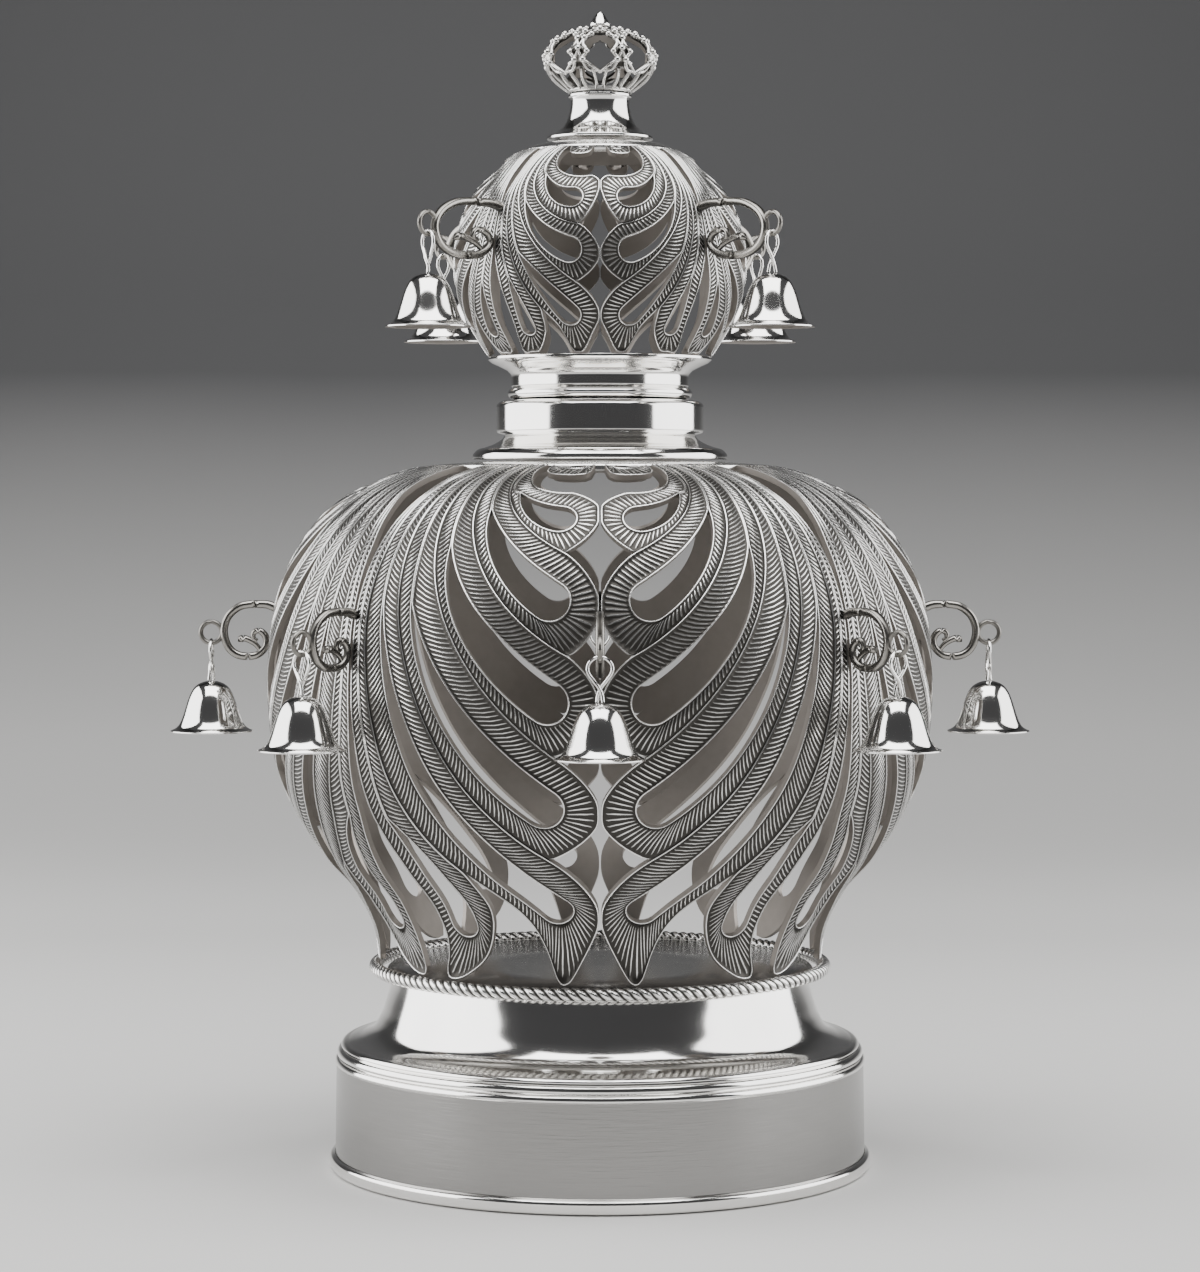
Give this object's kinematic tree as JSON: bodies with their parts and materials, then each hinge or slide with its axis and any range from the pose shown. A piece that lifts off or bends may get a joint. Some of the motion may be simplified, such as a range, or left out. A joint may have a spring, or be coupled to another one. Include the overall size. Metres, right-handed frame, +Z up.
{
  "type": "torah crown",
  "caption": "Silver torah crown with an openwork feather-scroll body and dome on a round base, hung with small bells and topped by a little crown finial",
  "frame": {"origin": "middle of the underside of the base, on the surface that it stands on", "axes": "+Z up along the crown's axis, -Y to the front, where a bell hangs on the axis of an openwork sector, +X to the right"},
  "size_m": [0.2762, 0.2762, 0.37],
  "materials": {
    "polished_silver": "polished",
    "satin_silver": "satin",
    "chased_silver": "chased and darkened in the grooves",
    "dark_silver": "oxidised"
  },
  "bodies": {
    "root": {"base": "satin_silver", "floor_plate": "satin_silver", "rope_ring": "chased_silver", "body_shell": "chased_silver", "neck": "polished_silver", "dome_shell": "chased_silver", "finial_collar": "polished_silver", "little_crown": "chased_silver", "finial_bud": "polished_silver", "lower_bracket_1": "dark_silver", "lower_link_1": "polished_silver", "lower_bell_1": "polished_silver", "lower_bracket_2": "dark_silver", "lower_link_2": "polished_silver", "lower_bell_2": "polished_silver", "lower_bracket_3": "dark_silver", "lower_link_3": "polished_silver", "lower_bell_3": "polished_silver", "lower_bracket_4": "dark_silver", "lower_link_4": "polished_silver", "lower_bell_4": "polished_silver", "lower_bracket_5": "dark_silver", "lower_link_5": "polished_silver", "lower_bell_5": "polished_silver", "lower_bracket_6": "dark_silver", "lower_link_6": "polished_silver", "lower_bell_6": "polished_silver", "lower_bracket_7": "dark_silver", "lower_link_7": "polished_silver", "lower_bell_7": "polished_silver", "lower_bracket_8": "dark_silver", "lower_link_8": "polished_silver", "lower_bell_8": "polished_silver", "upper_bracket_1": "dark_silver", "upper_link_1": "polished_silver", "upper_bell_1": "polished_silver", "upper_bracket_2": "dark_silver", "upper_link_2": "polished_silver", "upper_bell_2": "polished_silver", "upper_bracket_3": "dark_silver", "upper_link_3": "polished_silver", "upper_bell_3": "polished_silver", "upper_bracket_4": "dark_silver", "upper_link_4": "polished_silver", "upper_bell_4": "polished_silver"}
  },
  "joints": []
}
